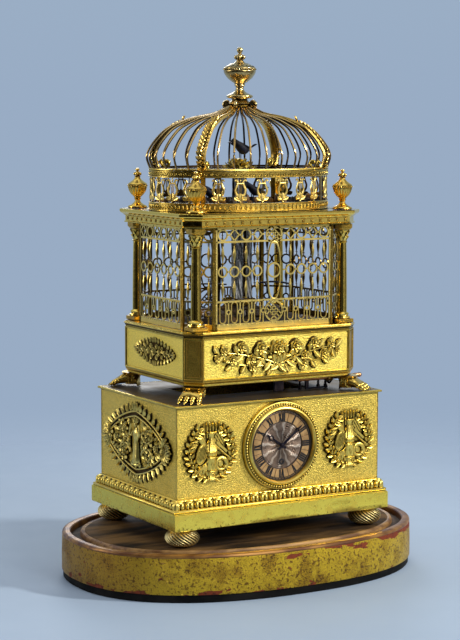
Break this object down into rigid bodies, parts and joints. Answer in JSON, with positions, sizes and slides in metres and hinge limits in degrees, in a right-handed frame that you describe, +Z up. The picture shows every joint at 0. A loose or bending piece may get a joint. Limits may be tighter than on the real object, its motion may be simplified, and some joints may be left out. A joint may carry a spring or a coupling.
{
  "type": "singing bird automaton",
  "caption": "Gilt bronze singing bird automaton: a domed bird cage with twisted glass fountain rods and turning birds, on a clock case and an oval giltwood stand.",
  "frame": {"origin": "middle of the stand's underside", "axes": "+Z up, -Y towards the dial's side, +X to the right as one looks at the dial"},
  "size_m": [0.4212, 0.2998, 0.6011],
  "materials": {
    "gilt_bronze": "burnished fire gilding on chased bronze",
    "matt_gilt": "matt stippled gilding",
    "old_brass": "tarnished brass",
    "gilt_wood": "worn gilding and dark paint over wood",
    "silvered_brass": "silvered and engine turned",
    "blued_steel": "blued and blackened steel",
    "clear_glass": "clear twisted glass",
    "painted_rock": "carved wood painted as rockwork",
    "dark_feather": "dark feathers over a light body"
  },
  "bodies": {
    "case_and_cage": {"stand_plinth": "gilt_wood", "ball_foot_front_left": "gilt_bronze", "ball_foot_front_right": "gilt_bronze", "ball_foot_back_left": "gilt_bronze", "ball_foot_back_right": "gilt_bronze", "plinth_band": "gilt_bronze", "leaf_moulding": "gilt_bronze", "case_front": "matt_gilt", "case_back": "matt_gilt", "case_left": "matt_gilt", "case_right": "matt_gilt", "case_top": "gilt_bronze", "dial_bezel": "gilt_bronze", "dial_plate": "silvered_brass", "trophy_left": "gilt_bronze", "trophy_right": "gilt_bronze", "side_mount_left": "gilt_bronze", "side_mount_right": "gilt_bronze", "floral_mount": "gilt_bronze", "movement_frame": "old_brass", "song_frame": "old_brass", "upper_case": "matt_gilt", "paw_front_left": "gilt_bronze", "paw_front_right": "gilt_bronze", "paw_back_left": "gilt_bronze", "paw_back_right": "gilt_bronze", "front_grille": "gilt_bronze", "back_grille": "gilt_bronze", "left_grille": "gilt_bronze", "right_grille": "gilt_bronze", "column_front_left": "gilt_bronze", "column_front_right": "gilt_bronze", "column_back_left": "gilt_bronze", "column_back_right": "gilt_bronze", "entablature": "gilt_bronze", "urn_front_left": "gilt_bronze", "urn_front_right": "gilt_bronze", "urn_back_left": "gilt_bronze", "urn_back_right": "gilt_bronze", "gallery": "gilt_bronze", "dome_cage": "gilt_bronze", "dome_finial": "gilt_bronze", "fountain_base": "painted_rock", "bird_stand": "gilt_bronze"},
    "hour_hand_body": {"hour_hand": "blued_steel"},
    "minute_hand_body": {"minute_hand": "blued_steel"},
    "winding_arbor_body": {"winding_arbor": "blued_steel"},
    "start_rod_body": {"start_rod": "old_brass"},
    "trip_lever_body": {"trip_lever": "blued_steel"},
    "song_barrel_body": {"song_barrel": "old_brass"},
    "bellows_board_body": {"bellows_board": "old_brass"},
    "centre_rod_body": {"glass_rod_centre": "clear_glass"},
    "rod_1_body": {"glass_rod_1": "clear_glass"},
    "rod_2_body": {"glass_rod_2": "clear_glass"},
    "rod_3_body": {"glass_rod_3": "clear_glass"},
    "top_bird_body": {"bird_top": "dark_feather"},
    "top_bird_tail_body": {"bird_tail": "dark_feather"},
    "top_bird_beak_body": {"bird_beak": "blued_steel"},
    "left_bird_body": {"bird_left": "dark_feather"},
    "right_bird_body": {"bird_right": "dark_feather"}
  },
  "joints": [
    {"name": "minute_hand_turn", "type": "hinge", "parent": "case_and_cage", "child": "minute_hand_body", "pos_m": [0, -0.0964, 0.1576], "axis": [0, 1, 0], "continuous": true},
    {"name": "hour_hand_turn", "type": "hinge", "parent": "case_and_cage", "child": "hour_hand_body", "pos_m": [0, -0.095, 0.1576], "axis": [0, 1, 0], "continuous": true},
    {"name": "winding_turn", "type": "hinge", "parent": "case_and_cage", "child": "winding_arbor_body", "pos_m": [0, -0.0569, 0.1391], "axis": [0, 1, 0], "continuous": true},
    {"name": "rod_slide", "type": "slide", "parent": "case_and_cage", "child": "start_rod_body", "axis": [1, 0, 0], "range_m": [-0.006, 0]},
    {"name": "trip_lever_turn", "type": "hinge", "parent": "case_and_cage", "child": "trip_lever_body", "pos_m": [0.0407, -0.04, 0.2246], "axis": [0, 0, 1], "range_deg": [-19, 0]},
    {"name": "song_barrel_turn", "type": "hinge", "parent": "case_and_cage", "child": "song_barrel_body", "pos_m": [-0.0637, 0.045, 0.1124], "axis": [1, 0, 0], "continuous": true},
    {"name": "bellows_turn", "type": "hinge", "parent": "case_and_cage", "child": "bellows_board_body", "pos_m": [0.018, 0.045, 0.0897], "axis": [0, -1, 0], "range_deg": [0, 10]},
    {"name": "centre_rod_turn", "type": "hinge", "parent": "case_and_cage", "child": "centre_rod_body", "pos_m": [0, 0, 0.3152], "axis": [0, 0, 1], "continuous": true},
    {"name": "rod_1_turn", "type": "hinge", "parent": "case_and_cage", "child": "rod_1_body", "pos_m": [-0.0097, -0.0056, 0.3152], "axis": [0, 0, 1], "continuous": true},
    {"name": "rod_2_turn", "type": "hinge", "parent": "case_and_cage", "child": "rod_2_body", "pos_m": [0.0097, -0.0056, 0.3152], "axis": [0, 0, 1], "continuous": true},
    {"name": "rod_3_turn", "type": "hinge", "parent": "case_and_cage", "child": "rod_3_body", "pos_m": [0, 0.0112, 0.3152], "axis": [0, 0, 1], "continuous": true},
    {"name": "top_bird_turn", "type": "hinge", "parent": "case_and_cage", "child": "top_bird_body", "pos_m": [0, 0, 0.476], "axis": [0, 0, 1], "range_deg": [-25, 25]},
    {"name": "top_bird_tail_flick", "type": "hinge", "parent": "top_bird_body", "child": "top_bird_tail_body", "pos_m": [0.0123, 0, 0.48425], "axis": [0, -1, 0], "range_deg": [0, 10]},
    {"name": "top_bird_beak_open", "type": "hinge", "parent": "top_bird_body", "child": "top_bird_beak_body", "pos_m": [-0.01247, 0, 0.4925], "axis": [0, 1, 0], "range_deg": [0, 8]},
    {"name": "left_bird_turn", "type": "hinge", "parent": "case_and_cage", "child": "left_bird_body", "pos_m": [-0.042, 0, 0.4182], "axis": [0, 0, 1], "range_deg": [-25, 25]},
    {"name": "right_bird_turn", "type": "hinge", "parent": "case_and_cage", "child": "right_bird_body", "pos_m": [0.03, 0.021, 0.4182], "axis": [0, 0, 1], "range_deg": [-25, 25]}
  ],
  "couplings": [
    {"joint": "hour_hand_turn", "follows": "minute_hand_turn", "ratio": 0.083333},
    {"joint": "trip_lever_turn", "follows": "rod_slide", "rad_per_m": 55},
    {"joint": "centre_rod_turn", "follows": "song_barrel_turn", "ratio": 6},
    {"joint": "rod_1_turn", "follows": "song_barrel_turn", "ratio": -8},
    {"joint": "rod_2_turn", "follows": "song_barrel_turn", "ratio": -8},
    {"joint": "rod_3_turn", "follows": "song_barrel_turn", "ratio": -8}
  ]
}
